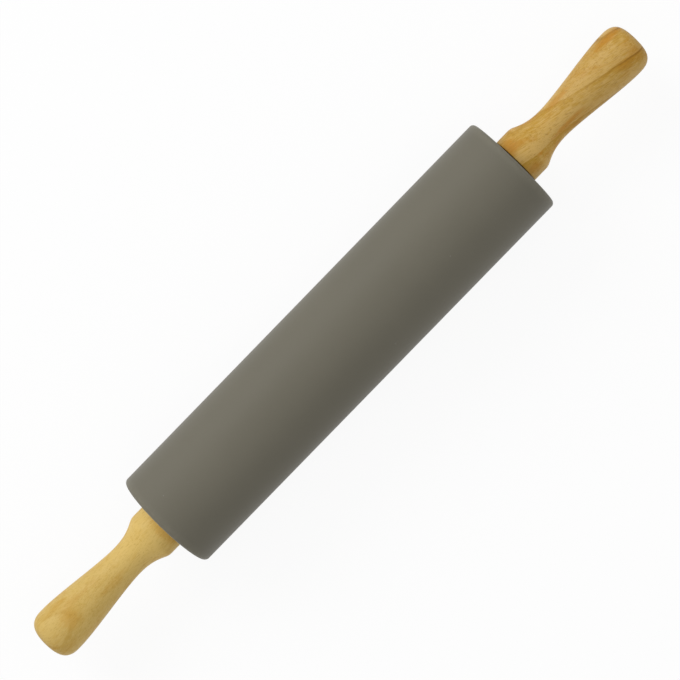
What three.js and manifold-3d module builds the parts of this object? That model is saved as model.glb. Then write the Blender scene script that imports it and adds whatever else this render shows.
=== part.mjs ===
// A silicone-coated rolling pin. A wood core inside a silicone sleeve turns on two ball bearings, each in a
// moulded cup let into the core's end. Each turned wood handle has its own steel spindle, which passes
// through the bearing and is held by a nut behind it, so the roller and both handles turn freely.
// Millimetres, +Z up. The pin lies along X, and the origin is the middle of the roller on its axis.
import * as THREE from "three";
import { mergeVertices } from "three/addons/utils/BufferGeometryUtils.js";
import Module from "manifold-3d";

const wasm = await Module();
wasm.setup();

// Roller: a sleeve whose lips fold over the ends of the core
const rollerLength = 254;
const rollerDiameter = 58;
const sleeveWall = 3.5;
const sleeveLipWall = 3.5;
const sleeveEdgeRadius = 2.2;
const sleeveMouthDiameter = 30;
const sleeveMouthRound = 0.8;
const coreEdgeChamfer = 1;

// Bearing cup: a boss that fills the sleeve's mouth, a flange under the lip, and a pocket for the bearing
const cupFaceRecess = 0.3;
const cupFrontWall = 3.4;
const cupFlangeLap = 2.5;
const cupFlangeThickness = 2;
const cupWall = 2.5;
const cupLeadChamfer = 0.8;
const cupWindowClearance = 1.5;

// Ball bearing, of the common 8 by 22 by 7 size; its width follows from what it holds
const bearingBore = 8;
const bearingOutside = 22;
const ballCount = 7;
const ballDiameter = 3.97;
const raceLandGap = 2.8;
const ballGap = 0.2;
const cageWall = 1.7;
const cageRim = 0.515;
const cageClawReach = 1.3;
const cagePocketGap = 0.15;
const shieldThickness = 0.35;
const shieldRecess = 0.2;
const shieldSeatDepth = 0.5;

// Spindle: threaded nose, journal, shoulder, and a barbed shank driven into the handle
const spindleShoulderDiameter = 11.5;
const shankDiameter = 8;
const shankLength = 42;
const shankPoint = 1.5;
const barbHeight = 0.4;
const barbPitch = 7;
const barbCount = 4;
const threadOverrun = 2;
const noseChamfer = 0.8;

// Nut and washers
const nutAcrossFlats = 13;
const nutHeight = 6.5;
const nutChamferAngle = THREE.MathUtils.degToRad(30);
const spacerDiameter = 11.5;
const spacerThickness = 1;
const thrustWasherDiameter = 23;
const thrustWasherThickness = 0.8;

// Handle, measured out from its base
const handleLength = 85.8;
const handleBaseChamfer = 0.8;
const collarDiameter = 27.2;
const collarLength = 9.8;
const collarChamfer = 0.35;
const shoulderAngle = THREE.MathUtils.degToRad(25);
const shoulderPull = 5;
const neckDiameter = 18.45;
const neckPosition = 27;
const neckPull = 9;
const flarePull = 11.5;
const swellDiameter = 27.45;
const swellInset = 10.6;
const buttRoundLength = 9;
const buttRoundDepth = 9;
const drillPoint = 2;
const boreEndRoom = 1;

// Clearances: between pieces that sit still on each other, and between pieces that move
const seatGap = 0.15;
const runningGap = 0.3;
const nutRoom = 1;

// Facets round a turn
const rollerSides = 48;
const coreSides = 28;
const handleSides = 36;
const innerSides = 20;
const ballSides = 8;
const ballRings = 6;
const arcSteps = 2;
const curveSteps = 6;

// Sizes that follow from those above
const ballRadius = ballDiameter / 2;
const pitchRadius = (bearingBore + bearingOutside) / 4;
const innerLandRadius = pitchRadius - raceLandGap / 2;
const outerLandRadius = pitchRadius + raceLandGap / 2;
const cageTop = ballRadius + cagePocketGap + cageRim;
const bearingWidth = 2 * (cageTop + runningGap + shieldThickness + shieldRecess);
const shoulderRadius = spindleShoulderDiameter / 2;
const journalRadius = bearingBore / 2 - seatGap / 2;
const barbRadius = shankDiameter / 2 + barbHeight;
const cupBodyRadius = bearingOutside / 2 + seatGap + cupWall;
const cupFlangeRadius = sleeveMouthDiameter / 2 + cupFlangeLap;
const nutCornerRadius = nutAcrossFlats / 2 / Math.cos(Math.PI / 6);

// Stations along the axis, measured out from the roller's end; inside the roller they are negative
const cupFace = -cupFaceRecess;
const coreEnd = -sleeveLipWall - seatGap;
const flangeBack = coreEnd - cupFlangeThickness;
const bearingFront = cupFace - cupFrontWall - seatGap;
const bearingMiddle = bearingFront - bearingWidth / 2;
const bearingBack = bearingFront - bearingWidth;
const coreShoulder = bearingBack - seatGap;
const spacerBack = bearingBack - seatGap - spacerThickness;
const nutBack = spacerBack - seatGap - nutHeight;
const spindleNose = nutBack - threadOverrun;
const nutPocketEnd = spindleNose - nutRoom;
const washerBack = runningGap;
const handleBase = washerBack + thrustWasherThickness + seatGap;
const shoulderFront = handleBase - seatGap;
const shankEnd = shoulderFront + shankLength;
const handleButt = handleBase + handleLength;

// Revolves an outline of (radius, height) about Y. The outline runs up its outer side, and either starts and
// ends on the axis or closes on itself.
function turn(outline, sides, steps = arcSteps) {
  return new THREE.LatheGeometry(outline.getPoints(steps), sides);
}

// An outline through straight runs only.
function polyline(corners) {
  return new THREE.Path(corners.map(([radius, height]) => new THREE.Vector2(radius, height)));
}

// A plain ring: bore radius, outside radius, lower and upper face.
function ring(bore, outside, low, high, sides) {
  const corners = [[outside, low], [outside, high], [bore, high], [bore, low], [outside, low]];
  return turn(polyline(corners), sides);
}

// A geometry as a solid for cutting.
function solidOf(geometry) {
  const bare = geometry.clone();
  bare.deleteAttribute("normal");
  bare.deleteAttribute("uv");
  const welded = mergeVertices(bare);
  return new wasm.Manifold(
    new wasm.Mesh({
      numProp: 3,
      vertProperties: welded.attributes.position.array,
      triVerts: new Uint32Array(welded.index.array),
    }),
  );
}

// A solid back as a geometry.
function geometryOf(solid) {
  const mesh = solid.getMesh();
  const geometry = new THREE.BufferGeometry();
  geometry.setAttribute("position", new THREE.BufferAttribute(mesh.vertProperties, mesh.numProp));
  geometry.setIndex(new THREE.BufferAttribute(mesh.triVerts, 1));
  geometry.computeVertexNormals();
  return geometry;
}

// Roller

function sleeveGeometry() {
  const outside = rollerDiameter / 2;
  const inside = outside - sleeveWall;
  const mouth = sleeveMouthDiameter / 2;
  const end = rollerLength / 2;
  const lip = end - sleeveLipWall;
  const edge = outside - sleeveEdgeRadius;
  const edgeHeight = end - sleeveEdgeRadius;
  const outline = new THREE.Path();
  outline.moveTo(outside, -edgeHeight);
  outline.lineTo(outside, edgeHeight);
  outline.absarc(edge, edgeHeight, sleeveEdgeRadius, 0, Math.PI / 2);
  outline.lineTo(mouth + sleeveMouthRound, end);
  outline.lineTo(mouth, end - sleeveMouthRound);
  outline.lineTo(mouth, lip);
  outline.lineTo(inside, lip);
  outline.lineTo(inside, -lip);
  outline.lineTo(mouth, -lip);
  outline.lineTo(mouth, sleeveMouthRound - end);
  outline.lineTo(mouth + sleeveMouthRound, -end);
  outline.absarc(edge, -edgeHeight, sleeveEdgeRadius, -Math.PI / 2, 0);
  return turn(outline, rollerSides);
}

// The stepped pocket at the +Y end of the core, from the axis out to the core's side.
function corePocket() {
  const centre = rollerLength / 2;
  const nutPocket = nutCornerRadius + nutRoom;
  const side = rollerDiameter / 2 - sleeveWall - seatGap;
  const pocket = [
    [0, nutPocketEnd - drillPoint],
    [nutPocket, nutPocketEnd],
    [nutPocket, coreShoulder],
    [cupBodyRadius + seatGap, coreShoulder],
    [cupBodyRadius + seatGap, flangeBack - seatGap],
    [cupFlangeRadius + seatGap, flangeBack - seatGap],
    [cupFlangeRadius + seatGap, coreEnd],
    [side - coreEdgeChamfer, coreEnd],
    [side, coreEnd - coreEdgeChamfer],
  ];
  return pocket.map(([radius, station]) => [radius, centre + station]);
}

function coreGeometry() {
  const upper = corePocket();
  const lower = upper.map(([radius, height]) => [radius, -height]);
  return turn(polyline([...lower, ...upper.reverse()]), coreSides);
}

// Bearing cup

function cupGeometry() {
  const boss = sleeveMouthDiameter / 2 - seatGap;
  const window = shoulderRadius + cupWindowClearance;
  const pocket = bearingOutside / 2 + seatGap;
  const corners = [
    [pocket, bearingBack],
    [cupBodyRadius - cupLeadChamfer, bearingBack],
    [cupBodyRadius, bearingBack + cupLeadChamfer],
    [cupBodyRadius, flangeBack],
    [cupFlangeRadius, flangeBack],
    [cupFlangeRadius, coreEnd - seatGap],
    [boss, coreEnd - seatGap],
    [boss, cupFace],
    [window, cupFace],
    [window, bearingFront + seatGap],
    [pocket, bearingFront + seatGap],
    [pocket, bearingBack],
  ];
  return turn(polyline(corners), innerSides);
}

// Ball bearing, about its own middle

const racewayRadius = ballRadius + ballGap;
const racewayAngle = Math.acos(raceLandGap / 2 / racewayRadius);

function innerRaceGeometry() {
  const half = bearingWidth / 2;
  const bore = bearingBore / 2;
  const outline = new THREE.Path();
  outline.moveTo(bore, -half);
  outline.lineTo(innerLandRadius, -half);
  outline.absarc(pitchRadius, 0, racewayRadius, Math.PI + racewayAngle, Math.PI - racewayAngle, true);
  outline.lineTo(innerLandRadius, half);
  outline.lineTo(bore, half);
  outline.lineTo(bore, -half);
  return turn(outline, innerSides);
}

function outerRaceGeometry() {
  const half = bearingWidth / 2;
  const outside = bearingOutside / 2;
  const seat = outerLandRadius + shieldSeatDepth;
  const step = half - shieldRecess - shieldThickness - seatGap;
  const outline = new THREE.Path();
  outline.moveTo(outside, -half);
  outline.lineTo(outside, half);
  outline.lineTo(seat, half);
  outline.lineTo(seat, step);
  outline.lineTo(outerLandRadius, step);
  outline.absarc(pitchRadius, 0, racewayRadius, racewayAngle, -racewayAngle, true);
  outline.lineTo(outerLandRadius, -step);
  outline.lineTo(seat, -step);
  outline.lineTo(seat, -half);
  outline.lineTo(outside, -half);
  return turn(outline, innerSides);
}

function shieldGeometry() {
  const rim = outerLandRadius + shieldSeatDepth - seatGap;
  return ring(innerLandRadius + runningGap, rim, 0, shieldThickness, innerSides);
}

// A ball's place on the pitch circle.
function ballPlace(index) {
  const angle = (2 * Math.PI * index) / ballCount;
  return new THREE.Vector3(pitchRadius * Math.cos(angle), 0, pitchRadius * Math.sin(angle));
}

// A crown cage: a rim on one side of the balls, with claws that reach between them.
function cageGeometry() {
  const blank = ring(
    pitchRadius - cageWall / 2,
    pitchRadius + cageWall / 2,
    -cageClawReach,
    cageTop,
    innerSides,
  );
  let cage = solidOf(blank);
  for (let index = 0; index < ballCount; index++) {
    const pocket = new THREE.SphereGeometry(ballRadius + cagePocketGap, ballSides, ballRings);
    const place = ballPlace(index);
    pocket.translate(place.x, place.y, place.z);
    cage = cage.subtract(solidOf(pocket));
  }
  return geometryOf(cage);
}

// Spindle, nut and washers

function spindleGeometry() {
  const shank = shankDiameter / 2;
  const corners = [
    [0, spindleNose],
    [journalRadius - noseChamfer, spindleNose],
    [journalRadius, spindleNose + noseChamfer],
    [journalRadius, bearingFront + seatGap],
    [shoulderRadius, bearingFront + seatGap],
    [shoulderRadius, shoulderFront],
    [shank, shoulderFront],
  ];
  const firstBarb = shankEnd - shankPoint - barbCount * barbPitch;
  for (let index = 0; index < barbCount; index++) {
    const foot = firstBarb + index * barbPitch;
    corners.push([shank, foot], [barbRadius, foot]);
  }
  corners.push([shank, shankEnd - shankPoint], [shank - shankPoint, shankEnd], [0, shankEnd]);
  return turn(polyline(corners), innerSides);
}

// A hexagon with its corners turned off at both faces, and a bore for the spindle's thread.
function nutGeometry() {
  const half = nutHeight / 2;
  const faceRadius = nutAcrossFlats / 2;
  const cornerDrop = (nutCornerRadius - faceRadius) * Math.tan(nutChamferAngle);
  const turnedCorners = [
    [0, -half],
    [faceRadius, -half],
    [nutCornerRadius, cornerDrop - half],
    [nutCornerRadius, half - cornerDrop],
    [faceRadius, half],
    [0, half],
  ];
  const hexagon = solidOf(new THREE.CylinderGeometry(nutCornerRadius, nutCornerRadius, nutHeight, 6));
  const blank = solidOf(turn(polyline(turnedCorners), innerSides));
  const boreRadius = journalRadius + seatGap;
  const bore = solidOf(new THREE.CylinderGeometry(boreRadius, boreRadius, 2 * nutHeight, innerSides));
  return geometryOf(hexagon.intersect(blank).subtract(bore));
}

function spacerGeometry() {
  return ring(journalRadius + seatGap, spacerDiameter / 2, spacerBack, bearingBack - seatGap, innerSides);
}

function thrustWasherGeometry() {
  const front = washerBack + thrustWasherThickness;
  return ring(shoulderRadius + seatGap, thrustWasherDiameter / 2, washerBack, front, innerSides);
}

// Handle: collar, cove into the neck, long flare to the palm swell, and a rounded butt with a flat end

function handleGeometry() {
  const bore = barbRadius + seatGap;
  const boreEnd = shankEnd + boreEndRoom;
  const collar = collarDiameter / 2;
  const neck = neckDiameter / 2;
  const swell = swellDiameter / 2;
  const collarTop = handleBase + collarLength;
  const neckHeight = handleBase + neckPosition;
  const swellHeight = handleButt - swellInset;
  const coveRadius = collar - collarChamfer;
  const outline = new THREE.Path();
  outline.moveTo(0, boreEnd + drillPoint);
  outline.lineTo(bore, boreEnd);
  outline.lineTo(bore, handleBase);
  outline.lineTo(collar - handleBaseChamfer, handleBase);
  outline.lineTo(collar, handleBase + handleBaseChamfer);
  outline.lineTo(collar, collarTop);
  outline.lineTo(coveRadius, collarTop + collarChamfer);
  outline.bezierCurveTo(
    coveRadius - shoulderPull * Math.sin(shoulderAngle),
    collarTop + collarChamfer + shoulderPull * Math.cos(shoulderAngle),
    neck,
    neckHeight - neckPull,
    neck,
    neckHeight,
  );
  outline.bezierCurveTo(neck, neckHeight + flarePull, swell, swellHeight - flarePull, swell, swellHeight);
  outline.lineTo(swell, handleButt - buttRoundLength);
  outline.quadraticCurveTo(swell, handleButt, swell - buttRoundDepth, handleButt);
  outline.lineTo(0, handleButt);
  return turn(outline, handleSides, curveSteps);
}

// Materials

const finish = (color, roughness, metalness = 0) =>
  new THREE.MeshStandardMaterial({ color, roughness, metalness });
const silicone = finish(0x736f64, 0.6);
const handleWood = finish(0xc39a5a, 0.45);
const coreWood = finish(0xcdb083, 0.7);
const cupNylon = finish(0x5f5c54, 0.5);
const washerNylon = finish(0x47443c, 0.45);
const cageNylon = finish(0xd8c9a0, 0.5);
const bearingSteel = finish(0xb9bcc0, 0.25, 1);
const spindleSteel = finish(0xa9acb0, 0.35, 1);

// Assembly

function piece(parent, name, geometry, material, height = 0) {
  const mesh = new THREE.Mesh(geometry, material);
  mesh.name = name;
  mesh.position.y = height;
  parent.add(mesh);
  return mesh;
}

const endPieces = {
  cup: cupGeometry(),
  innerRace: innerRaceGeometry(),
  outerRace: outerRaceGeometry(),
  shield: shieldGeometry(),
  cage: cageGeometry(),
  ball: new THREE.SphereGeometry(ballRadius, ballSides, ballRings),
  spindle: spindleGeometry(),
  nut: nutGeometry(),
  spacer: spacerGeometry(),
  thrustWasher: thrustWasherGeometry(),
  handle: handleGeometry(),
};

// Everything at one end of the pin, in a frame that starts on the roller's end and runs out along the handle.
function makeEnd(side) {
  const end = new THREE.Group();
  const shieldStation = bearingWidth / 2 - shieldRecess - shieldThickness;
  piece(end, `${side}_bearing_cup`, endPieces.cup, cupNylon);
  piece(end, `${side}_spindle`, endPieces.spindle, spindleSteel);
  piece(end, `${side}_spacer_washer`, endPieces.spacer, spindleSteel);
  piece(end, `${side}_lock_nut`, endPieces.nut, spindleSteel, nutBack + nutHeight / 2);
  piece(end, `${side}_thrust_washer`, endPieces.thrustWasher, washerNylon);
  piece(end, `${side}_handle`, endPieces.handle, handleWood);

  const bearing = new THREE.Group();
  bearing.position.y = bearingMiddle;
  piece(bearing, `${side}_inner_race`, endPieces.innerRace, bearingSteel);
  piece(bearing, `${side}_outer_race`, endPieces.outerRace, bearingSteel);
  piece(bearing, `${side}_front_shield`, endPieces.shield, bearingSteel, shieldStation);
  piece(bearing, `${side}_rear_shield`, endPieces.shield, bearingSteel, -shieldStation - shieldThickness);
  piece(bearing, `${side}_ball_cage`, endPieces.cage, cageNylon);
  for (let index = 0; index < ballCount; index++) {
    const ball = piece(bearing, `${side}_ball_${index + 1}`, endPieces.ball, bearingSteel);
    ball.position.copy(ballPlace(index));
  }
  end.add(bearing);
  return end;
}

// The pin is modelled along Y and laid down along X.
const rollingPin = new THREE.Group();
rollingPin.rotation.z = -Math.PI / 2;
piece(rollingPin, "silicone_sleeve", sleeveGeometry(), silicone);
piece(rollingPin, "roller_core", coreGeometry(), coreWood);

const rightEnd = makeEnd("right");
rightEnd.position.y = rollerLength / 2;
rollingPin.add(rightEnd);

const leftEnd = makeEnd("left");
leftEnd.position.y = -rollerLength / 2;
leftEnd.rotation.z = Math.PI;
rollingPin.add(leftEnd);

export default rollingPin;
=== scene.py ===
import math

import bmesh
import bpy
from mathutils import Matrix, Vector
from mathutils.geometry import interpolate_bezier


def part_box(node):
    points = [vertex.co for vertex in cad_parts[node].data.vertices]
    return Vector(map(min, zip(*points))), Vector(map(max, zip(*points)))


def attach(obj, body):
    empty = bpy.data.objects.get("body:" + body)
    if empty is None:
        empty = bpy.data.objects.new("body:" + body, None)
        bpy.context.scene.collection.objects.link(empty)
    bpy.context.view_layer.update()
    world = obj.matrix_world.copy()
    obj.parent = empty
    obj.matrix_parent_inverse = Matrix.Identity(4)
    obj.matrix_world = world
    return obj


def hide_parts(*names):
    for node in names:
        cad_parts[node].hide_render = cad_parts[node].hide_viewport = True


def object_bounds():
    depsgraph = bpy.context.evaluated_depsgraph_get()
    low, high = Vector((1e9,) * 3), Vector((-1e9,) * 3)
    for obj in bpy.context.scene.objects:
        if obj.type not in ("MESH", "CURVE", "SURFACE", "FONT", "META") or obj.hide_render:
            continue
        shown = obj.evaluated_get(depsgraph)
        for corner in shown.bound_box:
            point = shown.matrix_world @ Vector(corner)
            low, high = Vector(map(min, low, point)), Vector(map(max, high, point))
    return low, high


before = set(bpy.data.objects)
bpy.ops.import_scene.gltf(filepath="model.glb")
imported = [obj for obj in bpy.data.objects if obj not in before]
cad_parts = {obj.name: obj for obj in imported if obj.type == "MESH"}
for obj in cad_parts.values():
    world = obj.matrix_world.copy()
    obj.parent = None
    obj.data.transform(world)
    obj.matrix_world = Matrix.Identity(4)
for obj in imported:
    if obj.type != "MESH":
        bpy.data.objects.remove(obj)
cadBox = [list(corner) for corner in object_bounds()]
print("frame loaded:", len(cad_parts), "nodes")

mm = 0.001
scene = bpy.context.scene
scene.view_settings.view_transform = "Standard"
sides = {"left": -1, "right": 1}  # which way each end of the pin points along X
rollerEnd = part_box("silicone_sleeve")[1].x


# camera, over the table and a little towards the right handle

cameraSet = {
    "imageSize": 680,
    "focalPixels": 2481,  # focal length, in pixels of that image
    "height": 1.26,  # above the pin's axis
    "foot": (0.051, 0.0),  # the spot straight below the camera
    "aim": (0.0015, 0.00068, 0.0),
    "pinSlant": math.radians(45.8),  # how steeply the pin climbs across the picture
    "sensor": 36,
}


def makeCamera(s):
    data = bpy.data.cameras.new("camera")
    data.sensor_width = s["sensor"]
    data.lens = s["focalPixels"] / s["imageSize"] * s["sensor"]
    camera = bpy.data.objects.new("camera", data)
    scene.collection.objects.link(camera)
    place = Vector((*s["foot"], s["height"]))
    look = (Vector(s["aim"]) - place).normalized()
    upward = Vector((math.sin(s["pinSlant"]), math.cos(s["pinSlant"]), 0))
    right = look.cross(upward).normalized()
    upright = right.cross(look)
    turn = Matrix((right, upright, -look)).transposed()
    camera.matrix_world = Matrix.Translation(place) @ turn.to_4x4()
    scene.camera = camera


makeCamera(cameraSet)
print("camera set")


# helpers for shader nodes

def addNode(tree, kind, settings=None, **inputs):
    # inputs are sockets to link or plain values; "in0" stands for input number 0
    node = tree.nodes.new(kind)
    for key, value in (settings or {}).items():
        setattr(node, key, value)
    for key, value in inputs.items():
        numbered = key[:2] == "in" and key[2:].isdigit()
        socket = node.inputs[int(key[2:]) if numbered else key]
        if isinstance(value, bpy.types.NodeSocket):
            tree.links.new(value, socket)
        else:
            socket.default_value = value
    return node


def addMath(tree, operation, first, second=0.0):
    return addNode(tree, "ShaderNodeMath", {"operation": operation}, in0=first, in1=second).outputs[0]


def addLength(tree, first, second):
    squares = [addMath(tree, "MULTIPLY", value, value) for value in (first, second)]
    return addMath(tree, "SQRT", addMath(tree, "ADD", *squares))


def addRange(tree, value, low, high, first=0.0, last=1.0, smooth=False):
    settings = {"interpolation_type": "SMOOTHSTEP" if smooth else "LINEAR"}
    inputs = {"Value": value, "From Min": low, "From Max": high, "To Min": first, "To Max": last}
    return addNode(tree, "ShaderNodeMapRange", settings, **inputs).outputs["Result"]


def addRamp(tree, factor, places, colours):
    node = addNode(tree, "ShaderNodeValToRGB", None, Fac=factor)
    ramp = node.color_ramp
    while len(ramp.elements) < len(colours):
        ramp.elements.new(0.5)
    for element, place, colour in zip(ramp.elements, places, colours):
        element.position = place
        element.color = (*colour, 1.0)
    return node.outputs["Color"]


def addMix(tree, factor, first, second):
    settings = {"data_type": "RGBA"}
    return addNode(tree, "ShaderNodeMix", settings, in0=factor, in6=first, in7=second).outputs[2]


def addLayer(tree, colour, mask, share, over):
    # lays another colour over this one where the mask is, at this share
    return addMix(tree, addMath(tree, "MULTIPLY", mask, share), colour, (*over, 1))


def addNoise(tree, vector, scale, detail=2.0, roughness=0.5):
    inputs = {"Vector": vector, "Scale": scale, "Detail": detail, "Roughness": roughness}
    return addNode(tree, "ShaderNodeTexNoise", None, **inputs).outputs["Fac"]


def addMapping(tree, vector, scale=(1, 1, 1), place=(0, 0, 0), turn=(0, 0, 0)):
    inputs = {"Vector": vector, "Scale": scale, "Location": place, "Rotation": turn}
    return addNode(tree, "ShaderNodeMapping", None, **inputs).outputs["Vector"]


def objectPoint(tree):
    return addNode(tree, "ShaderNodeTexCoord").outputs["Object"]


def splitPoint(tree, point):
    # place along the X axis, and distance from it
    split = addNode(tree, "ShaderNodeSeparateXYZ", None, Vector=point).outputs
    return split["X"], addLength(tree, split["Y"], split["Z"])


def newGroup(name, inputs, outputs):
    # inputs give each socket's usual value, and None for a vector
    group = bpy.data.node_groups.new(name, "ShaderNodeTree")
    for key, value in inputs.items():
        kind = "NodeSocketVector" if value is None else "NodeSocketFloat"
        socket = group.interface.new_socket(key, in_out="INPUT", socket_type=kind)
        if value is not None:
            socket.default_value = value
    for key in outputs:
        group.interface.new_socket(key, in_out="OUTPUT", socket_type="NodeSocketFloat")
    enter = group.nodes.new("NodeGroupInput").outputs
    leave = group.nodes.new("NodeGroupOutput").inputs
    return group, enter, leave


def useGroup(tree, group, **inputs):
    return addNode(tree, "ShaderNodeGroup", {"node_tree": group}, **inputs).outputs


def newMaterial(name, **constants):
    material = bpy.data.materials.new(name)
    material.use_nodes = True
    tree = material.node_tree
    shader = tree.nodes["Principled BSDF"]
    for key, value in constants.items():
        shader.inputs[key].default_value = value
    return material, tree, shader


def addBump(tree, shader, height, strength, depth):
    bump = addNode(tree, "ShaderNodeBump", None, Height=height, Strength=strength, Distance=depth)
    tree.links.new(bump.outputs["Normal"], shader.inputs["Normal"])


# stage: a white table that keeps a faint shadow, a white room, and two large soft lamps

stageSet = {
    "tableSize": 20.0,
    "tableColour": (0.9, 0.9, 0.9),
    "tableRoughness": 0.9,
    "shadowShare": 0.09,  # how much of the table's own shading is seen
    "roomColour": (1.0, 1.0, 1.0),
    "roomLight": 0.58,
}
lampSets = {
    "key": {"place": (-0.1, 1.62, 1.1), "size": 1.2, "power": 20.0},
    "fill": {"place": (0.0, -0.2, 1.9), "size": 1.4, "power": 4.5},
}


def seenRay(tree):
    # 1 for rays that show the room itself: the camera's, and those in gloss and glass
    path = addNode(tree, "ShaderNodeLightPath").outputs
    seen = addMath(tree, "MAXIMUM", path["Is Camera Ray"], path["Is Glossy Ray"])
    return addMath(tree, "MAXIMUM", seen, path["Is Transmission Ray"])


def makeTable(s):
    constants = {"Base Color": (*s["tableColour"], 1), "Specular IOR Level": 0.0}
    constants["Roughness"] = s["tableRoughness"]
    material, tree, shader = newMaterial("tableWhite", **constants)
    glow = addNode(tree, "ShaderNodeEmission", None, Color=(*s["roomColour"], 1), Strength=1.0)
    share = addMath(tree, "MULTIPLY", seenRay(tree), 1 - s["shadowShare"])
    inputs = {"in0": share, "in1": shader.outputs["BSDF"], "in2": glow.outputs["Emission"]}
    mixed = addNode(tree, "ShaderNodeMixShader", None, **inputs)
    tree.links.new(mixed.outputs["Shader"], tree.nodes["Material Output"].inputs["Surface"])
    bm = bmesh.new()
    bmesh.ops.create_grid(bm, x_segments=1, y_segments=1, size=s["tableSize"] / 2)
    bmesh.ops.translate(bm, verts=bm.verts, vec=(0, 0, cadBox[0][2]))
    mesh = bpy.data.meshes.new("table")
    bm.to_mesh(mesh)
    bm.free()
    mesh.materials.append(material)
    table = bpy.data.objects.new("table", mesh)
    scene.collection.objects.link(table)


def makeRoom(s):
    world = bpy.data.worlds.new("room")
    world.use_nodes = True
    scene.world = world
    tree = world.node_tree
    background = tree.nodes["Background"]
    background.inputs["Color"].default_value = (*s["roomColour"], 1)
    seen = addMath(tree, "MULTIPLY", seenRay(tree), 1 - s["roomLight"])
    tree.links.new(addMath(tree, "ADD", seen, s["roomLight"]), background.inputs["Strength"])


def makeLamp(name, s):
    data = bpy.data.lights.new(name, "AREA")
    data.shape = "DISK"
    data.size = s["size"]
    data.energy = s["power"]
    lamp = bpy.data.objects.new(name, data)
    scene.collection.objects.link(lamp)
    lamp.location = s["place"]
    lamp.rotation_euler = (-lamp.location).to_track_quat("-Z", "Y").to_euler()


makeTable(stageSet)
makeRoom(stageSet)
for name, s in lampSets.items():
    makeLamp(name, s)
print("stage set")


# effects that several finishes share

effectSet = {
    "speckFade": (0.03, 0.06),  # where a speck starts to fade and ends, as shares of its cell
    "speckRarity": (0.8, 0.82),  # cells with a lower random value have no speck
    "bandFade": (0.2, 1.0),  # where an edge band starts to fade and ends, as shares of its width
    "bandGrain": 420.0,  # scale of the noise that breaks the band up
    "bandGain": 1.6,
}
grainSet = {
    # each noise: scale along the grain, scale across it, detail and roughness
    "waver": (0.035, 0.07, 3.0, 0.45),
    "gaps": (0.09, 0.4, 3.0, 0.5),
    "fibre": (0.03, 1.3, 4.0, 0.62),
    "hair": (0.06, 3.0, 3.0, 0.65),
    "pore": (0.3, 3.0, 1.0, 0.5),
    "mottle": (0.2, 0.6, 4.0, 0.65),
    "drift": (0.045, 0.13, 3.0, 0.5),
    "poreFrom": (0.61, 0.67),
    "darkening": 2.2,  # how late in its year the wood turns dark
    "lineBand": (0.87, 0.95),  # these two are shares of a year's growth
    "yearEnd": (0.95, 1.0),
    "gapBand": (0.3, 0.6),
    "gapShare": (0.25, 1.0),  # how much of a ring's line is left in a gap and beside it
}


def makeFineFinish(s):
    # a fine grain, soft smudges, and rare specks
    inputs = {"Point": None, "Grain Scale": 2000.0, "Smudge Scale": 40.0, "Speck Scale": 150.0}
    group, enter, leave = newGroup("fineFinish", inputs, ("Grain", "Smudge", "Speck"))
    point = enter["Point"]
    group.links.new(addNoise(group, point, enter["Grain Scale"]), leave["Grain"])
    smudge = addNoise(group, point, enter["Smudge Scale"], detail=4.0, roughness=0.55)
    group.links.new(smudge, leave["Smudge"])
    inputs = {"Vector": point, "Scale": enter["Speck Scale"]}
    cells = addNode(group, "ShaderNodeTexVoronoi", None, **inputs).outputs
    dot = addRange(group, cells["Distance"], *s["speckFade"], 1.0, 0.0)
    chance = addNode(group, "ShaderNodeSeparateColor", None, Color=cells["Color"]).outputs["Red"]
    kept = addRange(group, chance, *s["speckRarity"])
    group.links.new(addMath(group, "MULTIPLY", dot, kept), leave["Speck"])
    return group


def makeTurnedLines():
    # fine lines left by turning: they change along the pin and with the radius only
    group, enter, leave = newGroup("turnedLines", {"Point": None, "Scale": 9000.0}, ("Lines",))
    along, radius = splitPoint(group, enter["Point"])
    place = addNode(group, "ShaderNodeCombineXYZ", None, X=along, Y=radius).outputs["Vector"]
    lines = addNoise(group, place, enter["Scale"], detail=3.0, roughness=0.7)
    group.links.new(lines, leave["Lines"])
    return group


def makeEdgeBand(s):
    # 1 on a turned edge at this place and radius, fading over the width, at both ends of the pin; the
    # wood's collars use it for rubbing, the sleeve for painted light
    inputs = {"Point": None, "Along": 0.1, "Radius": 0.01, "Width": 0.001}
    group, enter, leave = newGroup("edgeBand", inputs, ("Mask",))
    along, radius = splitPoint(group, enter["Point"])
    outward = addMath(group, "SUBTRACT", addMath(group, "ABSOLUTE", along), enter["Along"])
    across = addMath(group, "SUBTRACT", radius, enter["Radius"])
    distance = addMath(group, "DIVIDE", addLength(group, across, outward), enter["Width"])
    mask = addRange(group, distance, *s["bandFade"], 1.0, 0.0, smooth=True)
    noise = addNoise(group, enter["Point"], s["bandGrain"], detail=3.0)
    broken = addMath(group, "MULTIPLY", noise, s["bandGain"])
    group.links.new(addMath(group, "MULTIPLY", mask, broken), leave["Mask"])
    return group


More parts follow.
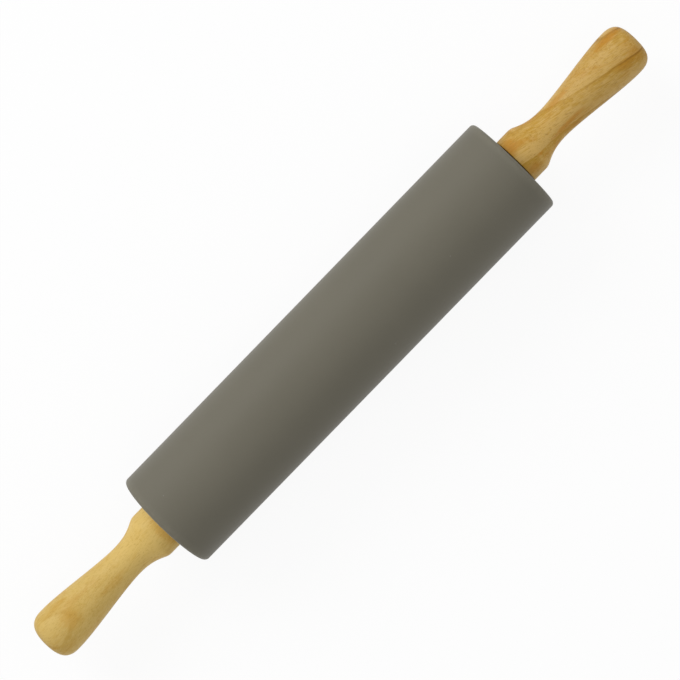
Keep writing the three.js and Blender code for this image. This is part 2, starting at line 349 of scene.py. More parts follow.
def makeWoodGrain(s):
    # growth rings about the X axis of the point given, in millimetres, with fibres, fine hairs, pores
    # and drifting tone
    inputs = {"Point": None, "Ring Spacing": 8.0, "Waver": 6.0}
    outputs = ("Ring", "Line", "Fibre", "Hair", "Pore", "Mottle", "Drift")
    group, enter, leave = newGroup("woodGrain", inputs, outputs)

    def grainNoise(key):
        along, across, detail, roughness = s[key]
        place = addMapping(group, enter["Point"], (along, across, across))
        return addNoise(group, place, 1.0, detail, roughness)

    distance = splitPoint(group, enter["Point"])[1]
    waver = addMath(group, "SUBTRACT", grainNoise("waver"), 0.5)
    distance = addMath(group, "ADD", distance, addMath(group, "MULTIPLY", waver, enter["Waver"]))
    phase = addMath(group, "FRACT", addMath(group, "DIVIDE", distance, enter["Ring Spacing"]))
    # each year's wood darkens slowly, ends in a thin line and starts pale again
    rise = addMath(group, "POWER", phase, s["darkening"])
    fall = addRange(group, phase, *s["yearEnd"], 1.0, 0.0, smooth=True)
    group.links.new(addMath(group, "MULTIPLY", rise, fall), leave["Ring"])
    line = addMath(group, "MULTIPLY", addRange(group, phase, *s["lineBand"], smooth=True), fall)
    broken = addRange(group, grainNoise("gaps"), *s["gapBand"], *s["gapShare"])
    group.links.new(addMath(group, "MULTIPLY", line, broken), leave["Line"])

    for key in ("Fibre", "Hair", "Mottle", "Drift"):
        group.links.new(grainNoise(key.lower()), leave[key])
    group.links.new(addRange(group, grainNoise("pore"), *s["poreFrom"]), leave["Pore"])
    return group


fineFinish = makeFineFinish(effectSet)
turnedLines = makeTurnedLines()
edgeBand = makeEdgeBand(effectSet)
woodGrain = makeWoodGrain(grainSet)


# helpers for finishes that run from a dark to a pale tone

noiseReach = (0.3, 0.7)  # most of a noise's values lie between these


def addTones(tree, tone, s):
    return addRamp(tree, tone, noiseReach, (s["dark"], s["pale"]))


def addRoughness(tree, shader, tone, s):
    rough = addRange(tree, tone, *noiseReach, *s["roughness"])
    tree.links.new(rough, shader.inputs["Roughness"])


def addEdgeMask(tree, point, edge):
    # edge is its place, radius and width
    along, radius, width = edge
    return useGroup(tree, edgeBand, Point=point, Along=along, Radius=radius, Width=width)["Mask"]


# silicone: matte warm grey, faintly mottled, with a fine grain, a little dust, and paler ends that are
# painted light lifting the shade where the rims round away

siliconeSet = {
    "dark": (0.118, 0.109, 0.080),
    "pale": (0.134, 0.124, 0.093),
    "dust": (0.24, 0.23, 0.2),
    "dustShare": 0.5,
    # painted light: the paler colour at the sleeve's ends lifts the shade where the rims round away
    "paintedEdgeLight": (0.19, 0.176, 0.131),
    "paintedEdgeLightShare": 0.4,
    "edgeRing": (rollerEnd, 29 * mm, 5.5 * mm),  # place, radius and width
    "roughness": (0.60, 0.72),
    "gloss": 0.34,
    "sheen": 0.18,
    "sheenRoughness": 0.4,
    "grainShare": 0.3,  # how much of the tone comes from the grain; the rest is smudges
    "grainStrength": 0.5,
    "grainDepth": 0.03 * mm,
    "scales": {"Grain Scale": 2600.0, "Smudge Scale": 30.0, "Speck Scale": 140.0},
}


def makeSilicone(s):
    constants = {"Specular IOR Level": s["gloss"], "Sheen Weight": s["sheen"]}
    constants["Sheen Roughness"] = s["sheenRoughness"]
    material, tree, shader = newMaterial("greySilicone", **constants)
    point = objectPoint(tree)
    fine = useGroup(tree, fineFinish, Point=point, **s["scales"])
    grain = addMath(tree, "MULTIPLY", fine["Grain"], s["grainShare"])
    smudge = addMath(tree, "MULTIPLY", fine["Smudge"], 1 - s["grainShare"])
    tone = addMath(tree, "ADD", grain, smudge)
    # painted light: a paler band at both ends of the sleeve, lifting the shade where the rims round away
    paintedEdgeLightMask = addEdgeMask(tree, point, s["edgeRing"])
    colour = addLayer(tree, addTones(tree, tone, s), paintedEdgeLightMask, s["paintedEdgeLightShare"], s["paintedEdgeLight"])
    colour = addLayer(tree, colour, fine["Speck"], s["dustShare"], s["dust"])
    tree.links.new(colour, shader.inputs["Base Color"])
    addRoughness(tree, shader, tone, s)
    addBump(tree, shader, fine["Grain"], s["grainStrength"], s["grainDepth"])
    return material


greySilicone = makeSilicone(siliconeSet)


# wood: its places, sizes and spacings are in millimetres, and pith is where the tree's middle ran
# warm patches are stains in the wood, except the first on the left handle, which is painted shade and
# warm bounce light by the barrel; each has its place, size and strength

inMm = 1 / mm
woodSet = {
    "toneShares": {"Fibre": 0.5, "Hair": 0.8, "Mottle": 0.75, "Drift": 0.5},
    "toneStops": (0.0, 0.25, 0.6),  # where the pale, middle and deep colours stand
    "warmBand": (0.5, 0.72),  # part of the drifting tone that turns warm
    "patchFade": (0.35, 1.15),  # where a warm patch starts to fade and ends, as shares of its size
    "patchRagged": 2.2,
    "lineFade": 20.0,  # length over which the ring lines come up
    "paintedLightReach": (128.0, 172.0),  # from where to where along the pin the painted light changes
    "rubShare": 0.3,
    "fibreReach": (0.2, 0.8),
    "roughness": (0.38, 0.54),
    "hairHeight": 0.5,
    "grainStrength": 0.25,
    "grainDepth": 0.12 * mm,
}
rightWoodSet = {
    **woodSet,
    "pith": (0.0, 49.9, 18.0),
    "tilt": (0.0, 0.02, 0.222),
    "ringSpacing": 13.5,
    "waver": 5.0,
    "ringTone": 0.36,
    "lift": (1.08, 0.965),  # painted light: brightness at the collar, lifting the shade that the barrel's end casts there, and further out
    "pale": (0.56, 0.36, 0.108),
    "middle": (0.468, 0.272, 0.045),
    "deep": (0.4, 0.206, 0.016),
    "line": (0.25, 0.115, 0.01),
    "lineFrom": 172.0,  # how far out along the pin the ring lines start to show
    "lineShare": (0.1, 0.75),
    "pore": (0.25, 0.115, 0.012),
    "poreShare": 0.42,
    "stain": (0.46, 0.19, 0.012),
    "warmth": 0.4,
    "warmPatches": [
        ((130.5, 8, 11), (5, 6, 6), 0.55),
        ((204, 10, 8), (13, 2.5, 7), 0.7),
        ((165, 7, 7), (9, 2.0, 5), 0.5),
        ((160, -5.5, 8), (13, 1.7, 6), 0.65),
        ((139.5, -6.4, 12), (3, 0.9, 3), 0.7),
        ((132, -9, 9), (5, 3, 6), 0.5),
    ],
}
leftWoodSet = {
    **woodSet,
    "pith": (0.0, 13.0, 56.4),
    "tilt": (0.0, 0.14, 0.0),
    "ringSpacing": 14.0,
    "waver": 3.0,
    "ringTone": 0.24,
    # painted light: brightness at the collar, lifting the shade that the barrel's end casts there, and
    # further out
    "lift": (1.19, 1.02),
    "pale": (0.58, 0.405, 0.125),
    "middle": (0.525, 0.345, 0.086),
    "deep": (0.465, 0.275, 0.05),
    "line": (0.38, 0.205, 0.03),
    "lineFrom": 180.0,
    "lineShare": (0.03, 0.12),
    "pore": (0.32, 0.18, 0.03),
    "poreShare": 0.34,
    "stain": (0.49, 0.255, 0.03),
    "warmth": 0.28,
    "warmPatches": [
        # painted shade and warm bounce light: a band along the collar next to the barrel's rim
        ((-129.5, -4, 12), (4, 11, 8), 0.5),
        ((-194, 0, 13), (7, 7, 6), 0.42),
    ],
}
coreWoodSet = {
    **leftWoodSet,
    "pith": (0.0, 40.0, 12.0),
    "tilt": (0.0, 0.01, 0.02),
    "lift": (1.0, 1.0),
    "pale": (0.64, 0.47, 0.26),
    "middle": (0.58, 0.41, 0.21),
    "deep": (0.50, 0.34, 0.16),
    "lineFrom": 0.0,
    "warmPatches": [],
}
handleFinish = {"Specular IOR Level": 0.12, "Coat Weight": 0.02, "Coat Roughness": 0.3}
bareFinish = {"Specular IOR Level": 0.2}


def addWoodTone(tree, grain, s):
    tone = addMath(tree, "MULTIPLY", grain["Ring"], s["ringTone"])
    for key, share in s["toneShares"].items():
        part = addMath(tree, "MULTIPLY", addMath(tree, "SUBTRACT", grain[key], 0.5), share)
        tone = addMath(tree, "ADD", tone, part)
    colour = addRamp(tree, tone, s["toneStops"], (s["pale"], s["middle"], s["deep"]))
    warmth = addRange(tree, grain["Drift"], *s["warmBand"], 0.0, s["warmth"], smooth=True)
    return addMix(tree, warmth, colour, (*s["stain"], 1))


def addWarmPatches(tree, colour, point, fibre, s):
    ragged = addMath(tree, "MULTIPLY", addMath(tree, "SUBTRACT", fibre, 0.5), s["patchRagged"])
    for place, size, strength in s["warmPatches"]:
        scale = [inMm / length for length in size]
        offset = [-along / length for along, length in zip(place, size)]
        local = addMapping(tree, point, scale, offset)
        spread = addNode(tree, "ShaderNodeVectorMath", {"operation": "LENGTH"}, in0=local)
        distance = addMath(tree, "ADD", spread.outputs["Value"], ragged)
        mask = addRange(tree, distance, *s["patchFade"], strength, 0.0, smooth=True)
        colour = addMix(tree, mask, colour, (*s["stain"], 1))
    return colour


def makeWood(name, s, finish, edgeRing=None):
    material, tree, shader = newMaterial(name, **finish)
    point = objectPoint(tree)
    fromPith = addMapping(tree, point, (inMm, inMm, inMm), s["pith"], s["tilt"])
    inputs = {"Point": fromPith, "Ring Spacing": s["ringSpacing"], "Waver": s["waver"]}
    grain = useGroup(tree, woodGrain, **inputs)
    colour = addWarmPatches(tree, addWoodTone(tree, grain, s), point, grain["Fibre"], s)
    outward = addMath(tree, "ABSOLUTE", splitPoint(tree, point)[0])
    lineReach = s["lineFrom"] * mm, (s["lineFrom"] + s["lineFade"]) * mm
    lineShare = addRange(tree, outward, *lineReach, *s["lineShare"], smooth=True)
    colour = addLayer(tree, colour, grain["Line"], lineShare, s["line"])
    colour = addLayer(tree, colour, grain["Pore"], s["poreShare"], s["pore"])
    if edgeRing:
        colour = addLayer(tree, colour, addEdgeMask(tree, point, edgeRing), s["rubShare"], s["pale"])
    # painted light: the colour is scaled brighter by the collar, lifting the shade that the barrel's end
    # casts there
    paintedLightReach = [place * mm for place in s["paintedLightReach"]]
    lift = addRange(tree, outward, *paintedLightReach, *s["lift"])
    paintedLightScale = addNode(tree, "ShaderNodeVectorMath", {"operation": "SCALE"}, in0=colour, Scale=lift)
    tree.links.new(paintedLightScale.outputs["Vector"], shader.inputs["Base Color"])
    rough = addRange(tree, grain["Fibre"], *s["fibreReach"], *s["roughness"])
    tree.links.new(rough, shader.inputs["Roughness"])
    hair = addMath(tree, "MULTIPLY", grain["Hair"], s["hairHeight"])
    height = addMath(tree, "SUBTRACT", addMath(tree, "ADD", grain["Fibre"], hair), grain["Pore"])
    addBump(tree, shader, height, s["grainStrength"], s["grainDepth"])
    return material


coreWood = makeWood("coreWood", coreWoodSet, bareFinish)


# nylon and steel of the bearings, cups and spindles

nylonSet = {
    "gloss": 0.45,
    "scales": {"Grain Scale": 3500.0, "Smudge Scale": 120.0, "Speck Scale": 400.0},
    "lineScale": 5000.0,
    "grainStrength": 0.4,
    "grainDepth": 0.02 * mm,
}
nylonSets = {
    "cupNylon": {
        **nylonSet,
        "dark": (0.098, 0.091, 0.075),
        "pale": (0.122, 0.114, 0.096),
        "roughness": (0.42, 0.58),
    },
    "washerNylon": {
        **nylonSet,
        "dark": (0.055, 0.050, 0.039),
        "pale": (0.071, 0.066, 0.051),
        "roughness": (0.36, 0.5),
    },
    "cageNylon": {
        **nylonSet,
        "dark": (0.62, 0.52, 0.30),
        "pale": (0.71, 0.61, 0.39),
        "roughness": (0.4, 0.54),
    },
}
steelSet = {
    "scales": {"Grain Scale": 6000.0, "Smudge Scale": 160.0, "Speck Scale": 500.0},
    "lineScale": 9000.0,
    "lineStrength": 0.3,
    "lineDepth": 0.01 * mm,
}
steelSets = {
    "bearingSteel": {
        **steelSet,
        "dark": (0.50, 0.51, 0.53),
        "pale": (0.60, 0.61, 0.63),
        "roughness": (0.16, 0.3),
    },
    "spindleSteel": {
        **steelSet,
        "dark": (0.40, 0.41, 0.41),
        "pale": (0.51, 0.52, 0.52),
        "roughness": (0.26, 0.44),
    },
}


def addTurnedTone(tree, shader, s):
    # colours a turned piece by its smudges and lines, and gives back what the rest of the finish uses
    point = objectPoint(tree)
    fine = useGroup(tree, fineFinish, Point=point, **s["scales"])
    lines = useGroup(tree, turnedLines, Point=point, Scale=s["lineScale"])["Lines"]
    tone = addMath(tree, "MULTIPLY", addMath(tree, "ADD", fine["Smudge"], lines), 0.5)
    tree.links.new(addTones(tree, tone, s), shader.inputs["Base Color"])
    return {"grain": fine["Grain"], "lines": lines, "tone": tone}


def makeNylon(name, s):
    material, tree, shader = newMaterial(name, **{"Specular IOR Level": s["gloss"]})
    turned = addTurnedTone(tree, shader, s)
    addRoughness(tree, shader, turned["grain"], s)
    addBump(tree, shader, turned["grain"], s["grainStrength"], s["grainDepth"])
    return material


def makeSteel(name, s):
    material, tree, shader = newMaterial(name, Metallic=1.0)
    turned = addTurnedTone(tree, shader, s)
    addRoughness(tree, shader, turned["tone"], s)
    addBump(tree, shader, turned["lines"], s["lineStrength"], s["lineDepth"])
    return material


nylons = {name: makeNylon(name, s) for name, s in nylonSets.items()}
steels = {name: makeSteel(name, s) for name, s in steelSets.items()}
print("finishes made")


# helpers for turned pieces

mergeGap = 1e-6  # points nearer than this become one
sharpAngle = math.radians(40)  # edges that turn more than this stay crisp


def spinProfile(points, steps, closed=False):
    # points are (place along the pin, radius); the profile is spun once round the pin's axis
    bm = bmesh.new()
    verts = [bm.verts.new((along, 0, radius)) for along, radius in points]
    pairs = list(zip(verts, verts[1:]))
    if closed:
        pairs.append((verts[-1], verts[0]))
    edges = [bm.edges.new(pair) for pair in pairs]
    spin = {"cent": (0, 0, 0), "axis": (1, 0, 0), "angle": 2 * math.pi, "steps": steps, "use_merge": True}
    bmesh.ops.spin(bm, geom=verts + edges, **spin)
    bmesh.ops.remove_doubles(bm, verts=bm.verts, dist=mergeGap)
    bmesh.ops.recalc_face_normals(bm, faces=bm.faces)
    return bm


def roundRing(bm, along, radius, size, segments=3):
    # rounds the turned edge at this place and radius
    near = 2 * mergeGap

    def onRing(vert):
        return abs(vert.co.x - along) < near and abs(vert.co.yz.length - radius) < near

    edges = [edge for edge in bm.edges if all(onRing(vert) for vert in edge.verts)]
    bevel = {"offset": size, "offset_type": "OFFSET", "segments": segments, "profile": 0.5}
    bmesh.ops.bevel(bm, geom=edges, affect="EDGES", material=-1, clamp_overlap=True, **bevel)


def curve(start, pullStart, pullEnd, end, count):
    # points of one curve after its start, as (along, radius)
    knots = [Vector((*point, 0)) for point in (start, pullStart, pullEnd, end)]
    return [(point.x, point.y) for point in interpolate_bezier(*knots, count + 1)[1:]]


def arc(middle, size, start, end, count):
    # points of one arc, as (along, radius); angles are measured from straight out
    angles = [start + (end - start) * i / count for i in range(count + 1)]
    return [(middle[0] + size * math.sin(angle), middle[1] + size * math.cos(angle)) for angle in angles]


def finishPiece(name, bm, material, body, node):
    bmesh.ops.recalc_face_normals(bm, faces=bm.faces)
    mesh = bpy.data.meshes.new(name)
    bm.to_mesh(mesh)
    bm.free()
    mesh.shade_smooth()
    mesh.set_sharp_from_angle(angle=sharpAngle)
    mesh.materials.append(material)
    piece = bpy.data.objects.new(name, mesh)
    scene.collection.objects.link(piece)
    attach(piece, body)
    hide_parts(node)


def reach(node):
    # inner end, outer end and radius of a node at the right end, measured out from the roller's end
    low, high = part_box(f"right_{node}")
    return low.x - rollerEnd, high.x - rollerEnd, high.z


def makeEndPiece(side, node, body, outline, rounds, finish, steps):
    # outline is (station out from the roller's end, radius); rounds are corners with their size
    sign = sides[side]
    profile = [(sign * (rollerEnd + along), radius) for along, radius in outline]
    bm = spinProfile(profile, steps, closed=True)
    for (along, radius), size in rounds:
        roundRing(bm, sign * (rollerEnd + along), radius, size)
    name = side + "".join(word.capitalize() for word in node.split("_"))
    finishPiece(name, bm, finish, body, f"{side}_{node}")


# sleeve

sleeveSet = {
    "wall": 3.5 * mm,
    "lip": 3.5 * mm,
    "edgeRound": 2.2 * mm,
    "edgeSteps": 8,
    "mouth": 15.0 * mm,
    "mouthRound": 0.8 * mm,
    "mouthSteps": 4,
    "steps": 128,
    "bands": 16,  # lengths that the side is divided into
}


def makeSleeve(s):
    end, outside = rollerEnd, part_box("silicone_sleeve")[1].z
    inside, lip = outside - s["wall"], end - s["lip"]
    shoulder = end - 2 * s["edgeRound"]
    side = [(shoulder * (2 * i / s["bands"] - 1), outside) for i in range(s["bands"] + 1)]
    face = [outside - 2 * s["edgeRound"], s["mouth"] + 2 * s["mouthRound"]]
    profile = [(-end, outside), *side, (end, outside)]
    profile += [(end, radius) for radius in face]
    profile += [(end, s["mouth"]), (lip, s["mouth"]), (lip, inside)]
    profile += [(-lip, inside), (-lip, s["mouth"]), (-end, s["mouth"])]
    profile += [(-end, radius) for radius in reversed(face)]
    bm = spinProfile(profile, s["steps"], closed=True)
    for sign in sides.values():
        roundRing(bm, sign * end, outside, s["edgeRound"], s["edgeSteps"])
        roundRing(bm, sign * end, s["mouth"], s["mouthRound"], s["mouthSteps"])
    finishPiece("sleeve", bm, greySilicone, "roller", "silicone_sleeve")


makeSleeve(sleeveSet)
print("sleeve made")


# handles, measured out from the base

handleSet = {
    "bore": 4.55 * mm,
    "boreDepth": 42.85 * mm,
    "drillPoint": 2.0 * mm,
    "collar": 13.6 * mm,
    "collarLength": 9.8 * mm,
    "collarRound": 1.4 * mm,
    "baseRound": 0.4 * mm,
    "roundSteps": 4,
    "shoulderAngle": math.radians(25),
    "shoulderPull": 5.0 * mm,
    "neck": 9.225 * mm,
    "neckAt": 27.0 * mm,
    "neckPull": 9.0 * mm,
    "coveSteps": 16,
    "flarePull": 11.5 * mm,
    "flareSteps": 28,
    "swellInset": 10.6 * mm,
    "buttLength": 9.0 * mm,
    "buttDepth": 9.0 * mm,
    "buttFullness": 2 / 3,  # how far the butt's curve is pulled towards a square corner
    "buttSteps": 14,
    "steps": 96,
}


def handleProfile(s, base, butt, swell):
    collar, collarTop = s["collar"], base + s["collarLength"]
    boreEnd = base + s["boreDepth"]
    profile = [(boreEnd + s["drillPoint"], 0), (boreEnd, s["bore"]), (base, s["bore"])]
    profile += [(base, collar - 2 * s["baseRound"]), (base, collar), (base + 2 * s["baseRound"], collar)]
    profile += [(collarTop - 2 * s["collarRound"], collar), (collarTop, collar)]
    # cove from the collar down to the neck, then the long flare up to the swell
    neck, top = (base + s["neckAt"], s["neck"]), (butt - s["swellInset"], swell)
    run = s["shoulderPull"] * math.cos(s["shoulderAngle"])
    drop = s["shoulderPull"] * math.sin(s["shoulderAngle"])
    pulls = (collarTop + run, collar - drop), (neck[0] - s["neckPull"], s["neck"])
    cove = curve((collarTop, collar), *pulls, neck, s["coveSteps"])
    roundEnd = collarTop + 2 * s["collarRound"]
    profile += [point for point in cove if point[0] > roundEnd]  # leaves room for the round
    pulls = (neck[0] + s["flarePull"], s["neck"]), (top[0] - s["flarePull"], swell)
    profile += curve(neck, *pulls, top, s["flareSteps"])
    # rounded butt with a small flat
    brow, flat = (butt - s["buttLength"], swell), (butt, swell - s["buttDepth"])
    corner = Vector((butt, swell))
    pulls = [tuple(Vector(point).lerp(corner, s["buttFullness"])) for point in (brow, flat)]
    profile += [brow, *curve(brow, *pulls, flat, s["buttSteps"]), (butt, flat[1] / 2), (butt, 0)]
    return profile


def makeHandle(s, side, wood):
    sign = sides[side]
    low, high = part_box("right_handle")
    collarTop = low.x + s["collarLength"]
    collarEdge = (collarTop, s["collar"], s["collarRound"])
    material = makeWood(f"{side}HandleWood", wood, handleFinish, collarEdge)
    profile = handleProfile(s, low.x, high.x, high.z)
    bm = spinProfile([(sign * along, radius) for along, radius in profile], s["steps"])
    roundRing(bm, sign * low.x, s["collar"], s["baseRound"], s["roundSteps"])
    roundRing(bm, sign * collarTop, s["collar"], s["collarRound"], s["roundSteps"])
    finishPiece(f"{side}Handle", bm, material, f"{side}_handle_set", f"{side}_handle")


makeHandle(handleSet, "right", rightWoodSet)
makeHandle(handleSet, "left", leftWoodSet)
print("handles made")


# core: a turned wood body with a stepped pocket in each end

coreSet = {
    "nutPocket": 8.51 * mm,
    "nutPocketEnd": -21.65 * mm,
    "drillPoint": 2.0 * mm,
    "cupPocket": 13.8 * mm,
    "cupPocketEnd": -11.0 * mm,
    "flangePocket": 17.65 * mm,
    "flangePocketEnd": -5.8 * mm,
    "edgeChamfer": 1.0 * mm,
    "steps": 96,
}


def makeCore(s):
    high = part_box("roller_core")[1]
    end, side = high.x, high.z
    pockets = ("nutPocket", "cupPocket", "flangePocket")
    stations = [rollerEnd + s[f"{pocket}End"] for pocket in pockets] + [end]
    outline = [(stations[0] - s["drillPoint"], 0)]
    for pocket, back, front in zip(pockets, stations, stations[1:]):
        outline += [(back, s[pocket]), (front, s[pocket])]
    outline += [(end, side - s["edgeChamfer"]), (end - s["edgeChamfer"], side)]
    mirrored = [(-along, radius) for along, radius in reversed(outline)]
    bm = spinProfile(outline + mirrored, s["steps"])
    finishPiece("core", bm, coreWood, "roller", "roller_core")


makeCore(coreSet)
print("core made")


# bearing cups

cupSet = {
    "pocket": 11.15 * mm,
    "body": 13.65 * mm,
    "boss": 14.85 * mm,
    "window": 7.25 * mm,
    "frontWall": 3.4 * mm,
    "flangeBack": -5.65 * mm,
    "flangeFront": -3.8 * mm,
    "lead": 0.8 * mm,
    "edgeRound": 0.35 * mm,
    "steps": 96,
}


def makeCup(s, side):
    back, face, flange = reach("bearing_cup")
    seat = face - s["frontWall"]
    outline = [(back, s["pocket"]), (back, s["body"]), (s["flangeBack"], s["body"])]
    outline += [(s["flangeBack"], flange), (s["flangeFront"], flange), (s["flangeFront"], s["boss"])]
    outline += [(face, s["boss"]), (face, s["window"]), (seat, s["window"]), (seat, s["pocket"])]
    rounds = [((back, s["body"]), s["lead"])]
    for corner in ((face, s["boss"]), (face, s["window"]), (s["flangeFront"], flange)):
        rounds.append((corner, s["edgeRound"]))
    nylon = nylons["cupNylon"]
    makeEndPiece(side, "bearing_cup", "roller", outline, rounds, nylon, s["steps"])


for side in sides:
    makeCup(cupSet, side)
print("cups made")


# ball bearings

bearingSet = {
    "pitch": 7.5 * mm,  # radius of the circle through the balls' middles
    "raceway": 2.185 * mm,  # radius of the groove that the balls run in
    "grooveSteps": 12,
    "bore": 4.0 * mm,
    "innerLand": 6.1 * mm,
    "outerLand": 8.9 * mm,
    "shieldSeat": 9.4 * mm,
    "seatDepth": 0.7 * mm,
    "shieldBore": 6.4 * mm,
    "shieldDish": 8.5 * mm,
    "dishDepth": 0.14 * mm,
    "edgeRound": 0.3 * mm,
    "balls": 7,
    "ball": 1.985 * mm,
    "ballDetail": 4,
    "pocket": 2.135 * mm,
    "pocketSteps": 32,
    "cageWall": 1.7 * mm,
    "cageRound": 0.12 * mm,
    "cageRoundSteps": 2,
    "steps": 72,
}


def makeRaces(s, side):
    back, front, outside = reach("outer_race")
    middle = ((back + front) / 2, s["pitch"])
    swing = math.acos((s["outerLand"] - s["pitch"]) / s["raceway"])
    seat, land = s["shieldSeat"], s["outerLand"]
    stepFront, stepBack = front - s["seatDepth"], back + s["seatDepth"]
    outline = [(back, outside), (front, outside), (front, seat), (stepFront, seat), (stepFront, land)]
    outline += arc(middle, s["raceway"], swing, -swing, s["grooveSteps"])
    outline += [(stepBack, land), (stepBack, seat), (back, seat)]
    rounds = [((place, outside), s["edgeRound"]) for place in (back, front)]
    steel, body = steels["bearingSteel"], f"{side}_handle_set"
    makeEndPiece(side, "outer_race", "roller", outline, rounds, steel, s["steps"])
    outline = [(back, s["bore"]), (front, s["bore"]), (front, s["innerLand"])]
    outline += arc(middle, s["raceway"], math.pi - swing, math.pi + swing, s["grooveSteps"])
    outline += [(back, s["innerLand"])]
    rounds = [((place, s["bore"]), s["edgeRound"]) for place in (back, front)]
    makeEndPiece(side, "inner_race", body, outline, rounds, steel, s["steps"])


def makeShields(s, side):
    # pressed rings, sunk a little on the face that shows
    bore, dish, steel = s["shieldBore"], s["shieldDish"], steels["bearingSteel"]
    for node in ("front_shield", "rear_shield"):
        back, front, rim = reach(node)
        shown, hidden = (front, back) if node == "front_shield" else (back, front)
        sunk = shown + math.copysign(s["dishDepth"], hidden - shown)
        outline = [(hidden, bore), (hidden, rim), (shown, rim)]
        outline += [(shown, dish + s["dishDepth"]), (sunk, dish), (sunk, bore)]
        makeEndPiece(side, node, "roller", outline, [], steel, s["steps"])


def ballPlaces(s, side):
    boxes = [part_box(f"{side}_ball_{number}") for number in range(1, s["balls"] + 1)]
    return [(low + high) / 2 for low, high in boxes]


def makeBalls(s, side):
    ball = {"subdivisions": s["ballDetail"], "radius": s["ball"]}
    for number, place in enumerate(ballPlaces(s, side), 1):
        bm = bmesh.new()
        bmesh.ops.create_icosphere(bm, matrix=Matrix.Translation(place), **ball)
        name, node = f"{side}Ball{number}", f"{side}_ball_{number}"
        finishPiece(name, bm, steels["bearingSteel"], f"{side}_ball_set", node)


def cutWith(bm, cutter, operation):
    # one shape cut by another through a Boolean modifier; both are used up
    pair = []
    for shape in (bm, cutter):
        mesh = bpy.data.meshes.new("cut")
        shape.to_mesh(mesh)
        shape.free()
        pair.append(bpy.data.objects.new("cut", mesh))
        scene.collection.objects.link(pair[-1])
    modifier = pair[0].modifiers.new("cut", "BOOLEAN")
    modifier.operation = operation
    modifier.solver = "EXACT"
    modifier.object = pair[1]
    mesh = bpy.data.meshes.new_from_object(pair[0].evaluated_get(bpy.context.evaluated_depsgraph_get()))
    result = bmesh.new()
    result.from_mesh(mesh)
    bmesh.ops.remove_doubles(result, verts=result.verts, dist=mergeGap)
    for shape in pair:
        bpy.data.meshes.remove(shape.data)
    bpy.data.meshes.remove(mesh)
    return result


def makeCage(s, side):
    # a crown: a rim on the outer side of the balls, with claws between them
    claws, rim, radius = reach("ball_cage")
    bore = radius - s["cageWall"]
    outline = [(claws, bore), (claws, radius), (rim, radius), (rim, bore)]
    profile = [(sides[side] * (rollerEnd + along), place) for along, place in outline]
    bm = spinProfile(profile, s["steps"], closed=True)
    for corner in profile:
        roundRing(bm, *corner, s["cageRound"], s["cageRoundSteps"])
    cutter = bmesh.new()
    pocket = {"u_segments": s["pocketSteps"], "v_segments": s["pocketSteps"] // 2, "radius": s["pocket"]}
    for place in ballPlaces(s, side):
        bmesh.ops.create_uvsphere(cutter, matrix=Matrix.Translation(place), **pocket)
    bm = cutWith(bm, cutter, "DIFFERENCE")
    body, node = f"{side}_ball_set", f"{side}_ball_cage"
    finishPiece(f"{side}BallCage", bm, nylons["cageNylon"], body, node)


for side in sides:
    makeRaces(bearingSet, side)
    makeShields(bearingSet, side)
    makeBalls(bearingSet, side)
    makeCage(bearingSet, side)
print("bearings made")


# spindles, with a rolled thread on the nose and barbs on the shank

spindleSet = {
    "threadRoot": 3.3 * mm,
    "threadPitch": 1.25 * mm,
    "threadFlat": 0.14,  # width of the flats at root and crest, as a share of the pitch
    "threadTurns": 6,
    "threadStart": -19.6 * mm,
    "turnSteps": 40,
    "journal": 3.925 * mm,
    "noseChamfer": 0.5 * mm,
    "shoulder": 5.75 * mm,
    "shoulderBack": -3.7 * mm,
    "shoulderFront": 1.1 * mm,
    "edgeChamfer": 0.3 * mm,
    "shank": 4.0 * mm,
    "barb": 4.4 * mm,
    "barbPitch": 7.0 * mm,
    "barbCount": 4,
    "point": 1.5 * mm,
}


def growLoop(bm, edges, along, radius):
    # extrudes an open ring of edges to this place and radius, and gives back the new ring
    grown = bmesh.ops.extrude_edge_only(bm, edges=edges)["geom"]
    verts = [item for item in grown if isinstance(item, bmesh.types.BMVert)]
    for vert in verts:
        outward = Vector((0, vert.co.y, vert.co.z)).normalized() * radius
        vert.co = (along, outward.y, outward.z)
    bmesh.ops.remove_doubles(bm, verts=verts, dist=mergeGap)
    reached = [vert for vert in bm.verts if abs(vert.co.x - along) < mergeGap / 10]
    return [edge for edge in bm.edges if edge.is_boundary and all(vert in reached for vert in edge.verts)]


def makeThread(s, start):
    # one turn's outline, spun forward along the axis
    bm = bmesh.new()
    pitch, root, crest = s["threadPitch"], s["threadRoot"], s["journal"]
    flat, half = s["threadFlat"] * pitch, pitch / 2
    outline = [(0, root), (flat, root), (half, crest), (half + flat, crest), (pitch, root)]
    verts = [bm.verts.new((start + along, 0, radius)) for along, radius in outline]
    edges = [bm.edges.new(pair) for pair in zip(verts, verts[1:])]
    spin = {"cent": (0, 0, 0), "axis": (1, 0, 0), "use_merge": False}
    spin |= {"dvec": (pitch / s["turnSteps"], 0, 0), "steps": s["turnSteps"] * s["threadTurns"]}
    bmesh.ops.spin(bm, geom=verts + edges, angle=2 * math.pi * s["threadTurns"], **spin)
    bmesh.ops.remove_doubles(bm, verts=bm.verts, dist=mergeGap)
    return bm


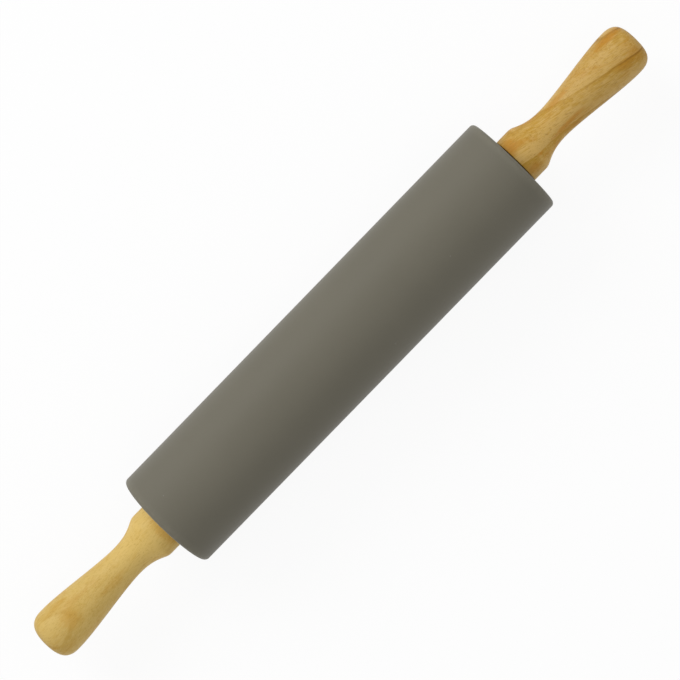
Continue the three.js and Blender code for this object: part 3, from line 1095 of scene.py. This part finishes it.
def makeSpindle(s, side):
    nose, end = reach("spindle")[:2]
    bm = makeThread(s, rollerEnd + s["threadStart"])
    length = s["threadPitch"] * (s["threadTurns"] + 1)
    middle = rollerEnd + s["threadStart"] + length / 2
    openEdges = [edge for edge in bm.edges if edge.is_boundary]
    noseRim = [edge for edge in openEdges if edge.verts[0].co.x < middle]
    shankRim = [edge for edge in openEdges if edge not in noseRim]
    root, chamfer = s["threadRoot"], s["noseChamfer"]
    inner = [(nose + chamfer, root), (nose, root - chamfer), (nose, 0)]
    back, front, chamfer = s["shoulderBack"], s["shoulderFront"], s["edgeChamfer"]
    threadEnd = s["threadStart"] + length + chamfer
    outer = [(threadEnd, root), (threadEnd + chamfer, s["journal"]), (back, s["journal"])]
    outer += [(back, s["shoulder"] - chamfer), (back + chamfer, s["shoulder"])]
    outer += [(front - chamfer, s["shoulder"]), (front, s["shoulder"] - chamfer), (front, s["shank"])]
    firstBarb = end - s["point"] - s["barbCount"] * s["barbPitch"]
    for number in range(s["barbCount"]):
        foot = firstBarb + number * s["barbPitch"]
        outer += [(foot, s["shank"]), (foot, s["barb"])]
    outer += [(end - s["point"], s["shank"]), (end, s["shank"] - s["point"]), (end, 0)]
    for rim, run in ((noseRim, inner), (shankRim, outer)):
        for along, radius in run:
            rim = growLoop(bm, rim, rollerEnd + along, radius)
    bmesh.ops.dissolve_degenerate(bm, edges=bm.edges, dist=mergeGap)  # flat faces at the thread's ends
    if side == "left":
        bmesh.ops.rotate(bm, verts=bm.verts, cent=(0, 0, 0), matrix=Matrix.Rotation(math.pi, 3, "Z"))
    steel = steels["spindleSteel"]
    finishPiece(f"{side}Spindle", bm, steel, f"{side}_handle_set", f"{side}_spindle")


# nuts and washers

nutSet = {
    "corner": 7.506 * mm,
    "flat": 6.5 * mm,
    "bore": 4.075 * mm,
    "drop": 0.58 * mm,  # how far the turned faces fall away at the corners
    "overcut": 0.00058 * mm,  # how far the turned shape passes the corners, so that it leaves them whole
    "steps": 72,
}
washerSet = {
    "spacerBore": 4.075 * mm,
    "thrustBore": 5.9 * mm,
    "edgeRound": 0.2 * mm,
    "steps": 72,
}


def makeNut(s, side):
    # a hexagon with its corners turned off, and a bore
    back, front = (sides[side] * (rollerEnd + place) for place in reach("lock_nut")[:2])
    bm = bmesh.new()
    turned = Matrix.Rotation(math.pi / 2, 4, "Y") @ Matrix.Rotation(math.pi / 6, 4, "Z")
    turned = Matrix.Translation(((back + front) / 2, 0, 0)) @ turned
    hexagon = {"segments": 6, "radius1": s["corner"], "radius2": s["corner"], "depth": abs(front - back)}
    bmesh.ops.create_cone(bm, cap_ends=True, matrix=turned, **hexagon)
    drop, wide = math.copysign(s["drop"], front - back), s["corner"] + s["overcut"]
    blank = [(back, s["bore"]), (back, s["flat"]), (back + drop, wide)]
    blank += [(front - drop, wide), (front, s["flat"]), (front, s["bore"])]
    bm = cutWith(bm, spinProfile(blank, s["steps"], closed=True), "INTERSECT")
    steel = steels["spindleSteel"]
    finishPiece(f"{side}LockNut", bm, steel, f"{side}_handle_set", f"{side}_lock_nut")


def makeWashers(s, side):
    body = f"{side}_handle_set"
    kinds = (("spacer_washer", "spacerBore", steels["spindleSteel"], "spindle_steel"),
             ("thrust_washer", "thrustBore", nylons["washerNylon"], "washer_nylon"))
    for node, bore, finish, slot in kinds:
        back, front, outside = reach(node)
        outline = [(back, s[bore]), (back, outside), (front, outside), (front, s[bore])]
        rounds = [(corner, s["edgeRound"]) for corner in outline]
        makeEndPiece(side, node, body, outline, rounds, finish, s["steps"])


for side in sides:
    makeSpindle(spindleSet, side)
    makeNut(nutSet, side)
    makeWashers(washerSet, side)
print("spindles, nuts and washers made")
